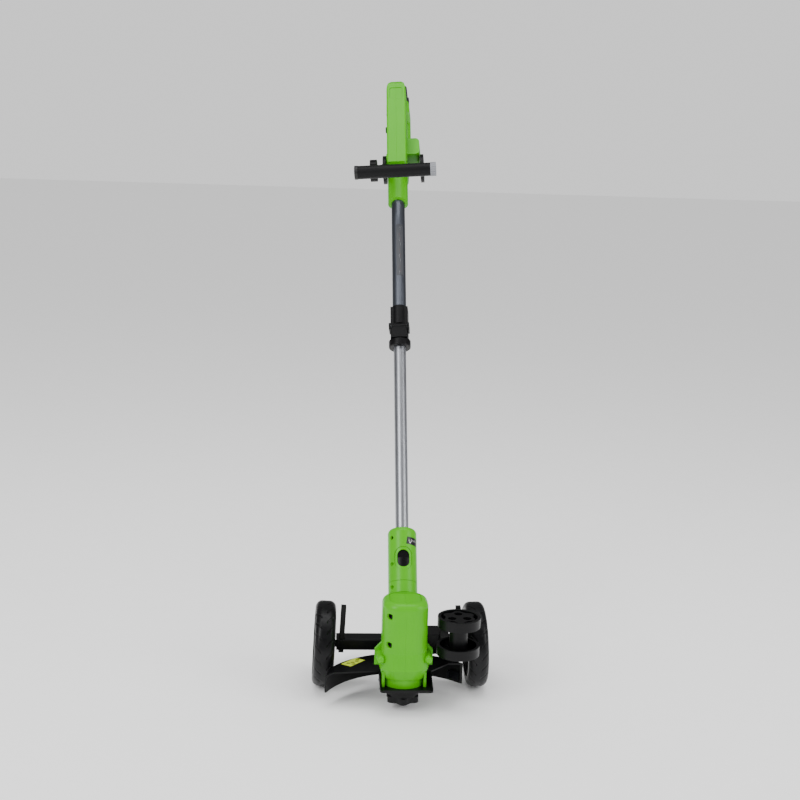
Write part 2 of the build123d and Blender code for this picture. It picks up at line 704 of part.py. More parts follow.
def clamp_lever():
    """Cam lever that lies flat on the clamp's front when it is locked."""
    t1 = LEVER_PIVOT_T
    body = span((-LEVER_HALF, LEVER_HALF), (LEVER_PIVOT_Y - 1.5, LEVER_PIVOT_Y + LEVER_T - 1.2),
                (t1 - LEVER_LEN + 8, t1))
    body += rod_x(3.2, -LEVER_HALF, LEVER_HALF, LEVER_PIVOT_Y, t1)
    body = body - rod_x(LEVER_PIN_R + RUN, -40, 40, LEVER_PIVOT_Y, t1)
    notch = Polyline((-LEVER_HALF - 1, t1 - LEVER_LEN), (0, t1 - LEVER_LEN + 9), (LEVER_HALF + 1, t1 - LEVER_LEN),
                     close=True)
    return body - extrude(Plane.XZ * make_face(notch), 40, both=True)


# ---------------------------------------------------------------- handle (pole's frame)
def side_shape(points, half):
    """A side profile of (y, t) points, made as thick as the handle."""
    face = Plane.YZ * make_face(Polyline(*points, close=True))
    return extrude(face, half, both=True)


def arch(half, rise, t0, t1):
    """Limits a moulding to a front outline with a domed top."""
    straight = t1 - rise - t0
    outline = Pos(0, t0 + straight / 2) * Rectangle(2 * half, straight) + Pos(0, t1 - rise) * Ellipse(half, rise)
    return extrude(Plane.XZ * outline, 200, both=True)


def rounded_side(points, half, round_by):
    body = side_shape(points, half)
    edges = body.edges().filter_by(Axis.X, reverse=True)
    return fillet(edges, round_by)


def handle_outer():
    nose = rod(NOSE_R, NOSE_T0, BODY_T0 + 20)
    nose -= Pos(0, 0, NOSE_T0) * Rot(-NOSE_SLANT, 0, 0) * span((-40, 40), (-60, 60), (-60, 0))
    grip = [(FRONT_Y, STEP_T), (FRONT_Y, TOP_T - 12), (FRONT_Y + 7, TOP_T - 3), (FRONT_Y + 20, TOP_T),
            (BATT_Y0 + 8, TOP_T - 2), (BATT_Y0 + 8, LOOP_T1), (LOOP_Y0, LOOP_T1), (LOOP_Y0, STEP_T)]
    block = [(-12, BODY_T0), (-12, LOOP_T0), (REAR_Y - 14, LOOP_T0), (REAR_Y - 4, LOOP_T0 - 16),
             (REAR_Y - 30, BODY_T0 + 4)]
    rear = [(LOOP_Y1, LOOP_T0 - 14), (LOOP_Y1, LOOP_T1 + 10), (REAR_Y, LOOP_T1 + 10), (REAR_Y, LOOP_T0)]
    dock = [(LOOP_Y0 + 2, LOOP_T1), (LOOP_Y0 + 2, DOCK_T), (REAR_Y, DOCK_T), (REAR_Y, LOOP_T1 - 4)]
    strut = rounded_side(grip, GRIP_HALF, 4.0) & arch(GRIP_HALF + 0.3, ARCH_RISE, STEP_T - 60, TOP_T + 1)
    body = nose + strut
    body += rounded_side(block, GRIP_HALF, BODY_ROUND)
    body += rounded_side(rear, BODY_HALF, BODY_ROUND)
    body += rounded_side(dock, BODY_HALF, BODY_ROUND)
    return body


def handle_inner():
    """The hollows of the grip, the motor-side block, the rear strut and the battery dock."""
    w = WALL
    floor = DOCK_T - 14
    grip = side_shape([(FRONT_Y + w, STEP_T + w), (FRONT_Y + w, floor), (LOOP_Y0 - w, floor),
                       (LOOP_Y0 - w, STEP_T + w)], GRIP_HALF - w)
    block = side_shape([(LOOP_Y0 - 8, STEP_T + 5), (LOOP_Y0 - 8, LOOP_T0 - w), (REAR_Y - 18, LOOP_T0 - w),
                        (REAR_Y - 34, STEP_T + 5)], GRIP_HALF - w - 0.5)
    rear = side_shape([(LOOP_Y1 + w, LOOP_T0 - 20), (LOOP_Y1 + w, LOOP_T1 + 8), (REAR_Y - w, LOOP_T1 + 8),
                       (REAR_Y - w, LOOP_T0 - 4), (REAR_Y - 16, LOOP_T0 - 20)], BODY_HALF - w)
    dock = side_shape([(LOOP_Y0 + 6, LOOP_T1 + w), (LOOP_Y0 + 6, floor), (REAR_Y - w - 0.5, floor),
                       (REAR_Y - w - 0.5, LOOP_T1 + w)], BODY_HALF - w - 0.5)
    return grip + block + rear + dock


def right_pod():
    """Rounded pod on the right flank that carries the auxiliary handle's bolt."""
    body = span((GRIP_HALF - 4, POD_X), (POD_Y0, POD_Y1), (POD_T0, POD_T1))
    body = fillet(body.edges().filter_by(Axis.Y).group_by(Axis.X)[-1], 8)
    return body + rod_x(AUX_BOLT_R + 6, GRIP_HALF - 4, POD_X, AUX_Y, AUX_T)


def left_pod():
    return rod_x(20, -LEFT_POD_X, -GRIP_HALF + 4, AUX_Y, AUX_T + 13)


def handle_shells():
    body = handle_outer() + right_pod() + left_pod()
    body -= handle_inner()
    body -= rod(UPPER_R, NOSE_T0 - 20, UPPER_T1)
    body -= span((GRIP_HALF - 4, POD_X - WALL), (POD_Y0 + WALL, POD_Y1 - WALL), (POD_T0 + WALL, POD_T1 - WALL))
    body += rod_x(AUX_BOLT_R + 3, -GRIP_HALF + 1, GRIP_HALF - 1, AUX_Y, AUX_T)
    body -= rod_x(AUX_BOLT_R, -60, 60, AUX_Y, AUX_T)
    face = Pos(0, (PAD_T0 + PAD_T1) / 2) * RectangleRounded(2 * PAD_HALF, PAD_T1 - PAD_T0, 5)
    pad = extrude(Plane.XZ * face, -FRONT_Y + 1)
    body -= pad - span((-40, 40), (FRONT_Y + 1.0, 40), (900, 1000))
    body -= span((-TRIGGER_HALF - GAP, TRIGGER_HALF + GAP), (LOOP_Y0 - 8, LOOP_Y0 + 2),
                 (TRIGGER_T0 - GAP, TRIGGER_T0 + TRIGGER_LEN + GAP))
    body -= rod_x(LOCK_R + GAP, -40, -GRIP_HALF + 6, -4, LOCK_T)
    body -= battery_envelope(GAP)
    return halves(body)


def handle_screws():
    """Screw heads in the left shell."""
    screws = []
    for y, t in ((-6, BODY_T0 + 74), (-14, LOOP_T0 + 60), (-10, LOOP_T1 + 14), (REAR_Y - 12, LOOP_T0 + 22),
                 (REAR_Y - 12, LOOP_T1 + 4)):
        half = GRIP_HALF if y < LOOP_Y0 else BODY_HALF
        screws.append(rod_x(2.8, -half - 0.9, -half, y, t))
    return Compound(screws)


def switch_module():
    return span((-8, 8), (-20, LOOP_Y0 - 8 - TRIGGER_STROKE - 4), (TRIGGER_T0, TRIGGER_T0 + 30))


def terminal_block():
    return span((-14, 14), (BATT_Y0 + 8, REAR_Y - 12), (DOCK_T - 24, DOCK_T - 14 - TOUCH))


def trigger():
    y0 = LOOP_Y0 - 7
    profile = Polyline((y0, TRIGGER_T0), (LOOP_Y0 + TRIGGER_OUT, TRIGGER_T0 + 5),
                       (LOOP_Y0 + TRIGGER_OUT - 4, TRIGGER_T0 + 18), (LOOP_Y0 + 3, TRIGGER_T0 + TRIGGER_LEN),
                       (y0, TRIGGER_T0 + TRIGGER_LEN), close=True)
    body = extrude(Plane.YZ * make_face(profile), TRIGGER_HALF, both=True)
    return fillet(body.edges().filter_by(Axis.X).group_by(Axis.Y)[-1], 2.5)


def lock_button():
    body = rod_x(LOCK_R, -GRIP_HALF - LOCK_OUT, -GRIP_HALF + 5, -4, LOCK_T)
    return fillet(body.edges().group_by(Axis.X)[0], 1.5)


# ---------------------------------------------------------------- auxiliary handle
def arm_path(x):
    """One flat arm from the pivot's eye to the bar, in the plane x."""
    profile = Polyline((AUX_Y - 12, AUX_T + 8), (AUX_BAR_Y, AUX_BAR_T + AUX_BAR_R),
                       (AUX_BAR_Y, AUX_BAR_T - AUX_BAR_R), (AUX_Y + 6, AUX_T - 16), close=True)
    return Pos(x, 0, 0) * extrude(Plane.YZ * make_face(profile), AUX_ARM_T / 2, both=True)


def aux_frame():
    """Black yoke: two eyes on the pivot bolt, two arms and the bar between and beyond them."""
    right = AUX_RIGHT_X + AUX_ARM_T / 2
    left = -AUX_LEFT_X - AUX_ARM_T / 2
    body = arm_path(right) + arm_path(left)
    for x in (right, left):
        body += rod_x(AUX_EYE_R, x - AUX_ARM_T / 2, x + AUX_ARM_T / 2, AUX_Y, AUX_T)
    body -= rod_x(AUX_BOLT_R + RUN, -70, 70, AUX_Y, AUX_T)
    return body + rod_x(AUX_BAR_R, -AUX_GRIP_HALF, AUX_GRIP_HALF, AUX_BAR_Y, AUX_BAR_T)


def aux_grip():
    """Moulded sleeve on the bar with flat finger pads along its upper side."""
    pads = 6
    pitch = 2 * AUX_GRIP_HALF / pads
    body = rod_x(AUX_GRIP_R, -AUX_GRIP_HALF, AUX_GRIP_HALF, AUX_BAR_Y, AUX_BAR_T)
    for i in range(pads):
        x0 = -AUX_GRIP_HALF + i * pitch
        body -= span((x0 + 1.2, x0 + pitch - 1.2), (AUX_BAR_Y - 20, AUX_BAR_Y - 4),
                     (AUX_BAR_T + AUX_GRIP_R - 1.8, AUX_BAR_T + 20))
    body -= rod_x(AUX_BAR_R, -90, 90, AUX_BAR_Y, AUX_BAR_T)
    right = AUX_RIGHT_X + AUX_ARM_T / 2
    left = -AUX_LEFT_X - AUX_ARM_T / 2
    return body - arm_path(right) - arm_path(left)


def aux_end_caps():
    caps = []
    for side in (-1, 1):
        reach = AUX_CAP_LEN if side > 0 else AUX_END_LEN
        x = sorted((side * AUX_GRIP_HALF, side * (AUX_GRIP_HALF + reach)))
        cap = rod_x(AUX_GRIP_R + 0.6, x[0], x[1], AUX_BAR_Y, AUX_BAR_T)
        if side > 0:
            for i in range(KNOB_FLUTES):
                turn = 2 * pi * i / KNOB_FLUTES
                cap -= rod_x(1.1, x[0] + 1.2, x[1] + 1, AUX_BAR_Y + (AUX_GRIP_R + 0.9) * cos(turn),
                             AUX_BAR_T + (AUX_GRIP_R + 0.9) * sin(turn))
        caps.append(cap)
    return Compound(caps)


def aux_bolt():
    body = rod_x(AUX_BOLT_R, -KNOB_X0 - 6, POD_X + AUX_ARM_T + 2, AUX_Y, AUX_T)
    return body + rod_x(7, POD_X + AUX_ARM_T + 1.5, POD_X + AUX_ARM_T + 6, AUX_Y, AUX_T)


def aux_knob():
    """Fluted knob on the bolt's left end that locks the auxiliary handle."""
    body = rod_x(KNOB_R, -KNOB_X1, -KNOB_X0, AUX_Y, AUX_T)
    for i in range(KNOB_FLUTES):
        turn = 2 * pi * i / KNOB_FLUTES
        body -= rod_x(1.7, -KNOB_X1 - 1, -KNOB_X0 + 1, AUX_Y + (KNOB_R + 0.4) * cos(turn),
                      AUX_T + (KNOB_R + 0.4) * sin(turn))
    body += rod_x(9, -KNOB_X0 - TOUCH, -AUX_LEFT_X - AUX_ARM_T - GAP, AUX_Y, AUX_T)
    return body - rod_x(AUX_BOLT_R + RUN, -KNOB_X0 - 6.5, 0, AUX_Y, AUX_T)


# ---------------------------------------------------------------- battery
def battery_envelope(grow):
    """The battery's outside; its lower end sits in the dock."""
    t0 = DOCK_T - 10 - grow
    points = [(BATT_Y0 - grow, t0), (BATT_Y0 - grow, BATT_T1 - 20), (BATT_Y0 + 14, BATT_T1 + grow),
              (BATT_REAR - 12, BATT_T1 + grow), (BATT_REAR + grow, BATT_T1 - 14), (BATT_REAR + grow, t0)]
    half = BATT_DOCK_HALF + grow
    foot = side_shape(points, half)
    return foot & arch(half + 0.2, BATT_RISE, t0 - 60, BATT_T1 + grow + 0.6)


def battery_hollow():
    return span((-BATT_DOCK_HALF + 2, BATT_DOCK_HALF - 2), (BATT_Y0 + BATT_WALL, BATT_REAR - BATT_WALL),
                (DOCK_T - 20, BATT_T1 - 20))


def battery_case():
    body = battery_envelope(0) - battery_hollow()
    y_mid = (BATT_Y0 + BATT_REAR) / 2
    reach = BATT_DOCK_HALF + 5
    window = span((-reach, reach), (y_mid - LATCH_W / 2 - GAP, y_mid + LATCH_W / 2 + GAP),
                  (LATCH_T - LATCH_LEN / 2 - GAP, LATCH_T + LATCH_LEN / 2 + GAP))
    return body - window


def battery_lid():
    return battery_hollow() & span((-50, 50), (0, 100), (DOCK_T - 10, DOCK_T - 10 + LID_T))


def battery_cells():
    cells = []
    y_mid = (BATT_Y0 + BATT_REAR) / 2
    for y in (y_mid - CELL_R - 1, y_mid + CELL_R + 1):
        t0 = DOCK_T - 10 + LID_T
        cells.append(rod(CELL_R, t0, t0 + CELL_LEN, 0, y))
    return Compound(cells)


def battery_latch():
    """Two sprung buttons, one in each flank of the battery."""
    buttons = []
    y_mid = (BATT_Y0 + BATT_REAR) / 2
    for side in (-1, 1):
        x = sorted((side * (BATT_DOCK_HALF - 4), side * (BATT_DOCK_HALF + 2.6)))
        buttons.append(span(x, (y_mid - LATCH_W / 2, y_mid + LATCH_W / 2),
                            (LATCH_T - LATCH_LEN / 2, LATCH_T + LATCH_LEN / 2)))
    return buttons


# ---------------------------------------------------------------- writing the parts
def save(name, shape, place=Location()):
    """Moves a piece from the frame it was drawn in to the row's, and writes it."""
    export_step((TO_ROW * place) * shape, f"parts/{name}.step")


def main():
    os.makedirs("parts", exist_ok=True)
    motor_left, motor_right = motor_shells()
    neck_left, neck_right = neck_shells()
    handle_left, handle_right = handle_shells()
    left_latch, right_latch = battery_latch()
    head = {
        "motor_shell_left": motor_left, "motor_shell_right": motor_right, "motor_screws": motor_screws(),
        "base_ring": base_ring(), "motor_can": motor_can(),
        "upper_bearing": bearing(CAN_Z + CAN_LEN + 2), "lower_bearing": bearing(FLARE_BOTTOM - 4 - BEARING_T),
        "armature_shaft": armature_shaft(), "drive_washer": drive_washer(), "spool_housing": spool_housing(),
        "spool_drum": spool_drum(), "spool_cap": spool_cap(), "guard": guard(), "guard_screws": guard_screws(),
        "line_cutter": line_cutter(), "crossbar": crossbar(), "crossbar_bracket": crossbar_bracket(),
        "spool_carrier": spool_carrier(), "spare_spool": spare_spool(),
    }
    for name, side in (("left", -1), ("right", 1)):
        head[f"{name}_axle_post"] = axle_post(side)
        head[f"{name}_rim"] = wheel_rim(side)
        head[f"{name}_tyre"] = tyre(side)
    neck_screw_a, neck_screw_b, collar_screw = neck_screws()
    pole = {
        "swivel_collar": swivel_collar(), "tilt_tongue": tilt_tongue(), "tilt_pin": tilt_pin(),
        "neck_shell_left": neck_left, "neck_shell_right": neck_right,
        "neck_screws": Compound([neck_screw_a, neck_screw_b]), "collar_screw": collar_screw,
        "swivel_button": swivel_button(), "lower_tube": lower_tube(), "coiled_lead": coiled_lead(),
    }
    handle = {
        "upper_tube": upper_tube(), "clamp_collar": clamp_collar(), "lever_pin": lever_pin(),
        "clamp_lever": clamp_lever(), "handle_shell_left": handle_left, "handle_shell_right": handle_right,
        "handle_screws": handle_screws(), "switch_module": switch_module(), "terminal_block": terminal_block(),
        "trigger": trigger(), "lock_button": lock_button(),
        "aux_frame": aux_frame(), "aux_grip": aux_grip(), "aux_end_caps": aux_end_caps(),
        "aux_bolt": aux_bolt(), "aux_knob": aux_knob(), "battery_case": battery_case(),
        "battery_lid": battery_lid(), "battery_cells": battery_cells(),
        "battery_latch_left": left_latch, "battery_latch_right": right_latch,
    }
    for name, shape in head.items():
        save(name, shape)
    for name, shape in pole.items():
        save(name, shape, POLE)
    for name, shape in handle.items():
        save(name, shape, HANDLE)


main()
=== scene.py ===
import json
from math import cos, pi, radians, sin

import bpy
from mathutils import Matrix, Vector


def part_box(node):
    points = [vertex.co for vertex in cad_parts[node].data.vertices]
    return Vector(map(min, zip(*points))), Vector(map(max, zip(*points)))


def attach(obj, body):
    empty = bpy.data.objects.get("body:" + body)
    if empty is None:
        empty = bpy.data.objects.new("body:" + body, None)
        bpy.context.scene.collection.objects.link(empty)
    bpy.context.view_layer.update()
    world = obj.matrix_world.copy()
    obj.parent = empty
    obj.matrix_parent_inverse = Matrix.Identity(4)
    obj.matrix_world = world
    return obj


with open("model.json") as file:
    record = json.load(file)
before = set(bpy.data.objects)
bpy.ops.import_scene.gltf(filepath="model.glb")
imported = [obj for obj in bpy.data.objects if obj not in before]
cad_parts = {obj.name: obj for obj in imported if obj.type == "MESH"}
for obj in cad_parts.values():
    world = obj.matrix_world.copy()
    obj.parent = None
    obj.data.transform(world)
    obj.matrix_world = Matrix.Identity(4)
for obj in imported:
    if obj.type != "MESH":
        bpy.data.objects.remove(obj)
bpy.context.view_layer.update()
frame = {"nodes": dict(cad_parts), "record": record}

# ------------------------------------------------------------------ where things are
# The pole's line and the handle's side direction come from the joints that turn about them.
MM = 0.001
joints = {joint["name"]: joint for joint in frame["record"]["behaviour"]["joints"]}
pole_foot = Vector(joints["head_swivel"]["pos_m"])
pole_up = Vector(joints["head_swivel"]["axis"]).normalized()
handle_right = Vector(joints["aux_handle_tilt"]["axis"]).normalized()
handle_back = pole_up.cross(handle_right)
pole_right = Vector((1, 0, 0))
pole_back = pole_up.cross(pole_right)
nodes = frame["nodes"]


def linear(code):
    """An sRGB hex colour as linear RGBA."""
    values = [int(code[i:i + 2], 16) / 255 for i in (1, 3, 5)]
    return [v / 12.92 if v <= 0.04045 else ((v + 0.055) / 1.055) ** 2.4 for v in values] + [1.0]


def add(tree, kind, settings=None, inputs=None):
    """Adds a node with its settings, and links or fills its inputs."""
    node = tree.nodes.new(kind)
    for name, value in (settings or {}).items():
        setattr(node, name, value)
    for name, value in (inputs or {}).items():
        if isinstance(value, bpy.types.NodeSocket):
            tree.links.new(value, node.inputs[name])
        else:
            node.inputs[name].default_value = value
    return node


def finish_surface(tree, colour, roughness, height, relief, **sockets):
    """Joins colour, roughness and relief to the surface, with small moulded edge radii."""
    edge = add(tree, "ShaderNodeBevel", {"samples": 4}, {"Radius": EDGE_RADIUS})
    bump = add(tree, "ShaderNodeBump", None,
               {"Strength": 1.0, "Distance": relief, "Height": height, "Normal": edge.outputs[0]})
    surface = tree.nodes["Principled BSDF"]
    tree.links.new(bump.outputs[0], surface.inputs["Normal"])
    tree.links.new(colour, surface.inputs["Base Color"])
    tree.links.new(roughness, surface.inputs["Roughness"])
    for name, value in sockets.items():
        surface.inputs[name.replace("_", " ")].default_value = value


def moulded(name, dark, light, smooth, rough, grain, relief, **sockets):
    """A moulded or drawn material: slow colour drift, fine grain and uneven gloss."""
    material = bpy.data.materials.new(name)
    material.use_nodes = True
    tree = material.node_tree
    place = add(tree, "ShaderNodeTexCoord").outputs["Object"]
    drift = add(tree, "ShaderNodeTexNoise", None, {"Vector": place, "Scale": 1 / (40 * MM), "Detail": 3.0})
    fine = add(tree, "ShaderNodeTexNoise", None, {"Vector": place, "Scale": 1 / grain, "Detail": 4.0})
    colour = add(tree, "ShaderNodeMix", {"data_type": "RGBA"},
                 {"Factor": drift.outputs[0], 6: linear(dark), 7: linear(light)})
    gloss = add(tree, "ShaderNodeMapRange", None,
                {"Value": fine.outputs[0], "From Min": 0.3, "From Max": 0.7, "To Min": smooth, "To Max": rough})
    finish_surface(tree, colour.outputs[2], gloss.outputs[0], fine.outputs[0], relief, **sockets)
    return material


def paint(material, *names):
    for name in names:
        nodes[name].data.materials.clear()
        nodes[name].data.materials.append(material)


# ------------------------------------------------------------------ lime green shells
# Injection-moulded ABS shells, screwed together in halves: motor housing, neck, swivel collar and
# handle. ABS gives a satin gloss with a very fine spark-eroded grain, and a soft edge radius.
EDGE_RADIUS = 0.7 * MM
FINE_GRAIN = 0.9 * MM
abs_green = moulded("abs_moulded_lime_satin", "#429f00", "#4ba900", 0.28, 0.40, FINE_GRAIN, 0.012 * MM,
                     IOR=1.5, Specular_IOR_Level=0.22)
paint(abs_green, "handle_shell_left", "handle_shell_right", "neck_shell_left", "neck_shell_right",
      "swivel_collar", "motor_shell_left", "motor_shell_right", "base_ring")

# ------------------------------------------------------------------ black structural mouldings
# Glass-filled nylon: crossbar, posts, guard, spool, spool carrier, clamp, yoke and knob. The fibres
# leave a dull, faintly mottled skin, a little shinier where the tool was polished.
COARSE_GRAIN = 1.6 * MM
nylon_black = moulded("nylon_glass_filled_black", "#060607", "#0b0b0d", 0.30, 0.46, COARSE_GRAIN, 0.02 * MM,
                       IOR=1.5, Specular_IOR_Level=0.2)
paint(nylon_black, "crossbar", "crossbar_bracket", "left_axle_post", "right_axle_post", "guard", "spool_carrier",
      "spare_spool", "spool_housing", "spool_cap", "clamp_collar", "clamp_lever", "aux_frame", "aux_knob",
      "battery_case", "battery_lid", "battery_latch_left", "battery_latch_right", "swivel_button", "trigger",
      "lock_button", "tilt_tongue", "left_rim", "right_rim", "coiled_lead")

# ------------------------------------------------------------------ front grip
# Thermoplastic rubber sleeve with flat pads, matt and slightly dusty black.
rubber_grip = moulded("tpe_grip_matt_black", "#09090a", "#0f0f11", 0.42, 0.58, 1.2 * MM, 0.03 * MM, IOR=1.5,
                       Specular_IOR_Level=0.18)
paint(rubber_grip, "aux_grip")

# ------------------------------------------------------------------ grey mouldings
# Unfilled grey plastic: the ribbed end cap of the front grip, the switch and the spool's drum.
grey_abs = moulded("abs_moulded_mid_grey", "#45464a", "#57585d", 0.42, 0.55, 1.1 * MM, 0.02 * MM, IOR=1.5)
paint(grey_abs, "switch_module", "terminal_block", "spool_drum")

# The grip's two end caps are one node: the right one is grey and the left one black.
cap_low, cap_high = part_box("aux_end_caps")
end_grey = moulded("abs_moulded_end_caps", "#7e8085", "#909297", 0.4, 0.52, 1.1 * MM, 0.02 * MM, IOR=1.5)
paint(end_grey, "aux_end_caps")
cap_tree = end_grey.node_tree
cap_surface = cap_tree.nodes["Principled BSDF"]
cap_place = add(cap_tree, "ShaderNodeTexCoord").outputs["Object"]
cap_side = add(cap_tree, "ShaderNodeSeparateXYZ", None, {0: cap_place}).outputs["X"]
cap_middle = (cap_low.x + cap_high.x) / 2
on_right = add(cap_tree, "ShaderNodeMath", {"operation": "GREATER_THAN"}, {0: cap_side, 1: cap_middle})
cap_grey = cap_surface.inputs["Base Color"].links[0].from_socket
cap_colour = add(cap_tree, "ShaderNodeMix", {"data_type": "RGBA"},
                 {"Factor": on_right.outputs[0], 6: linear("#0a0a0c"), 7: cap_grey})
cap_tree.links.new(cap_colour.outputs[2], cap_surface.inputs["Base Color"])

# ------------------------------------------------------------------ tubes
# Drawn aluminium, satin anodised: the upper tube is mid grey, the lower one bright silver. Drawing
# leaves fine lines along the tube, so the grain is stretched along the pole.


def drawn(name, dark, light, smooth, rough):
    """Drawn and anodised tube with fine lines along the pole."""
    material = bpy.data.materials.new(name)
    material.use_nodes = True
    tree = material.node_tree
    place = add(tree, "ShaderNodeTexCoord").outputs["Object"]
    along = add(tree, "ShaderNodeVectorMath", {"operation": "DOT_PRODUCT"}, {0: place, 1: pole_up}).outputs["Value"]
    side = add(tree, "ShaderNodeVectorMath", {"operation": "DOT_PRODUCT"}, {0: place, 1: pole_right}).outputs["Value"]
    back = add(tree, "ShaderNodeVectorMath", {"operation": "DOT_PRODUCT"}, {0: place, 1: pole_back}).outputs["Value"]
    slow = add(tree, "ShaderNodeMath", {"operation": "MULTIPLY"}, {0: along, 1: 0.02}).outputs[0]
    lines = add(tree, "ShaderNodeCombineXYZ", None, {"X": side, "Y": back, "Z": slow}).outputs[0]
    grain = add(tree, "ShaderNodeTexNoise", None, {"Vector": lines, "Scale": 1 / (0.7 * MM), "Detail": 3.0})
    cloud = add(tree, "ShaderNodeTexNoise", None, {"Vector": place, "Scale": 1 / (60 * MM), "Detail": 2.0})
    colour = add(tree, "ShaderNodeMix", {"data_type": "RGBA"},
                 {"Factor": cloud.outputs[0], 6: linear(dark), 7: linear(light)})
    gloss = add(tree, "ShaderNodeMapRange", None,
                {"Value": grain.outputs[0], "From Min": 0.3, "From Max": 0.7, "To Min": smooth, "To Max": rough})
    finish_surface(tree, colour.outputs[2], gloss.outputs[0], grain.outputs[0], 0.006 * MM, Metallic=1.0)
    return material


paint(drawn("aluminium_drawn_anodised_grey", "#5f636c", "#6a6e77", 0.34, 0.46), "upper_tube")
paint(drawn("aluminium_drawn_anodised_silver", "#a9acb2", "#b6b8bd", 0.32, 0.44), "lower_tube")

# ------------------------------------------------------------------ steel and copper
# Zinc-plated pins and motor can; shell screws darkened as painted shade of their deep recesses, and a blackened line
# cutter; a copper-coated drive washer.
steel = moulded("steel_zinc_plated", "#8d9096", "#a2a5aa", 0.26, 0.4, 0.8 * MM, 0.008 * MM, Metallic=1.0)
paint(steel, "lever_pin", "aux_bolt", "tilt_pin", "motor_can", "upper_bearing", "lower_bearing",
      "armature_shaft", "guard_screws")
# Painted shade: the shell screws get this near-black steel to stand in for the shade in their recesses; the line
# cutter is plain blackened steel.
recess_shade_and_black_steel = moulded("steel_painted_recess_shade_and_blackened", "#1c1d20", "#292a2e", 0.34, 0.5, 0.8 * MM, 0.008 * MM, Metallic=1.0)
paint(recess_shade_and_black_steel, "handle_screws", "collar_screw", "neck_screws", "motor_screws", "line_cutter")
copper = moulded("copper_coated_steel", "#b5704f", "#c98462", 0.3, 0.45, 0.8 * MM, 0.008 * MM, Metallic=1.0)
paint(copper, "drive_washer")

# ------------------------------------------------------------------ cells inside the battery
# Steel cells in a blue heat-shrunk PVC sleeve.
paint(moulded("pvc_shrink_blue", "#1b3f66", "#22507f", 0.3, 0.4, 1.0 * MM, 0.01 * MM), "battery_cells")

# ------------------------------------------------------------------ tyres
# Moulded rubber with a plain middle band and slanted grooves on both shoulders, each about 3 mm wide
# and slanting back from the middle. The rubber is matt with a faint bloom, and the grooves are painted
# near-black as painted shade inside them.
GROOVES = 22
GROOVE_SLANT = 0.055 / MM
GROOVE_SHARE = 0.26
GROOVE_DEPTH = 1.6 * MM
BAND = 4.5 * MM
SHOULDER = 14.0 * MM


def tyre_rubber(name, node_name):
    low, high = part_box(node_name)
    centre = (low + high) / 2
    material = bpy.data.materials.new(name)
    material.use_nodes = True
    tree = material.node_tree
    place = add(tree, "ShaderNodeTexCoord").outputs["Object"]
    local = add(tree, "ShaderNodeVectorMath", {"operation": "SUBTRACT"}, {0: place, 1: centre})
    split = add(tree, "ShaderNodeSeparateXYZ", None, {0: local.outputs[0]})
    angle = add(tree, "ShaderNodeMath", {"operation": "ARCTAN2"}, {0: split.outputs["Z"], 1: split.outputs["Y"]})
    turns = add(tree, "ShaderNodeMath", {"operation": "MULTIPLY"}, {0: angle.outputs[0], 1: GROOVES / (2 * pi)})
    across = add(tree, "ShaderNodeMath", {"operation": "ABSOLUTE"}, {0: split.outputs["X"]})
    shift = add(tree, "ShaderNodeMath", {"operation": "MULTIPLY"}, {0: across.outputs[0], 1: GROOVE_SLANT})
    side = add(tree, "ShaderNodeMath", {"operation": "SIGN"}, {0: split.outputs["X"]})
    half = add(tree, "ShaderNodeMath", {"operation": "MULTIPLY"}, {0: side.outputs[0], 1: 0.25})
    phase = add(tree, "ShaderNodeMath", {"operation": "ADD"}, {0: turns.outputs[0], 1: shift.outputs[0]})
    phase = add(tree, "ShaderNodeMath", {"operation": "ADD"}, {0: phase.outputs[0], 1: half.outputs[0]})
    saw = add(tree, "ShaderNodeMath", {"operation": "FRACT"}, {0: phase.outputs[0]})
    off = add(tree, "ShaderNodeMath", {"operation": "SUBTRACT"}, {0: saw.outputs[0], 1: 0.5})
    away = add(tree, "ShaderNodeMath", {"operation": "ABSOLUTE"}, {0: off.outputs[0]})
    groove = add(tree, "ShaderNodeMapRange", {"interpolation_type": "SMOOTHSTEP"},
                 {"Value": away.outputs[0], "From Min": GROOVE_SHARE / 2, "From Max": GROOVE_SHARE / 4,
                  "To Min": 0.0, "To Max": 1.0})
    start = add(tree, "ShaderNodeMapRange", None,
                {"Value": across.outputs[0], "From Min": BAND - MM, "From Max": BAND + MM})
    end = add(tree, "ShaderNodeMapRange", None,
              {"Value": across.outputs[0], "From Min": SHOULDER + MM, "From Max": SHOULDER - MM})
    zone = add(tree, "ShaderNodeMath", {"operation": "MULTIPLY"}, {0: start.outputs[0], 1: end.outputs[0]})
    groove_relief_and_shade = add(tree, "ShaderNodeMath", {"operation": "MULTIPLY"}, {0: groove.outputs[0], 1: zone.outputs[0]})
    bloom = add(tree, "ShaderNodeTexNoise", None, {"Vector": place, "Scale": 1 / (6 * MM), "Detail": 5.0})
    rubber = add(tree, "ShaderNodeMix", {"data_type": "RGBA"},
                 {"Factor": bloom.outputs[0], 6: linear("#08080a"), 7: linear("#0e0e10")})
    # Painted shade: inside the grooves the rubber colour is mixed to near-black (#020203), standing in for the shade
    # there.
    colour = add(tree, "ShaderNodeMix", {"data_type": "RGBA"},
                 {"Factor": groove_relief_and_shade.outputs[0], 6: rubber.outputs[2], 7: linear("#020203")})
    gloss = add(tree, "ShaderNodeMapRange", None,
                {"Value": bloom.outputs[0], "From Min": 0.3, "From Max": 0.7, "To Min": 0.30, "To Max": 0.46})
    fine = add(tree, "ShaderNodeMath", {"operation": "MULTIPLY"}, {0: bloom.outputs[0], 1: 0.03})
    height = add(tree, "ShaderNodeMath", {"operation": "SUBTRACT"}, {0: fine.outputs[0], 1: groove_relief_and_shade.outputs[0]})
    finish_surface(tree, colour.outputs[2], gloss.outputs[0], height.outputs[0], GROOVE_DEPTH, IOR=1.5,
                   Specular_IOR_Level=0.25)
    return material


paint(tyre_rubber("rubber_moulded_tyre_left", "left_tyre"), "left_tyre")
paint(tyre_rubber("rubber_moulded_tyre_right", "right_tyre"), "right_tyre")

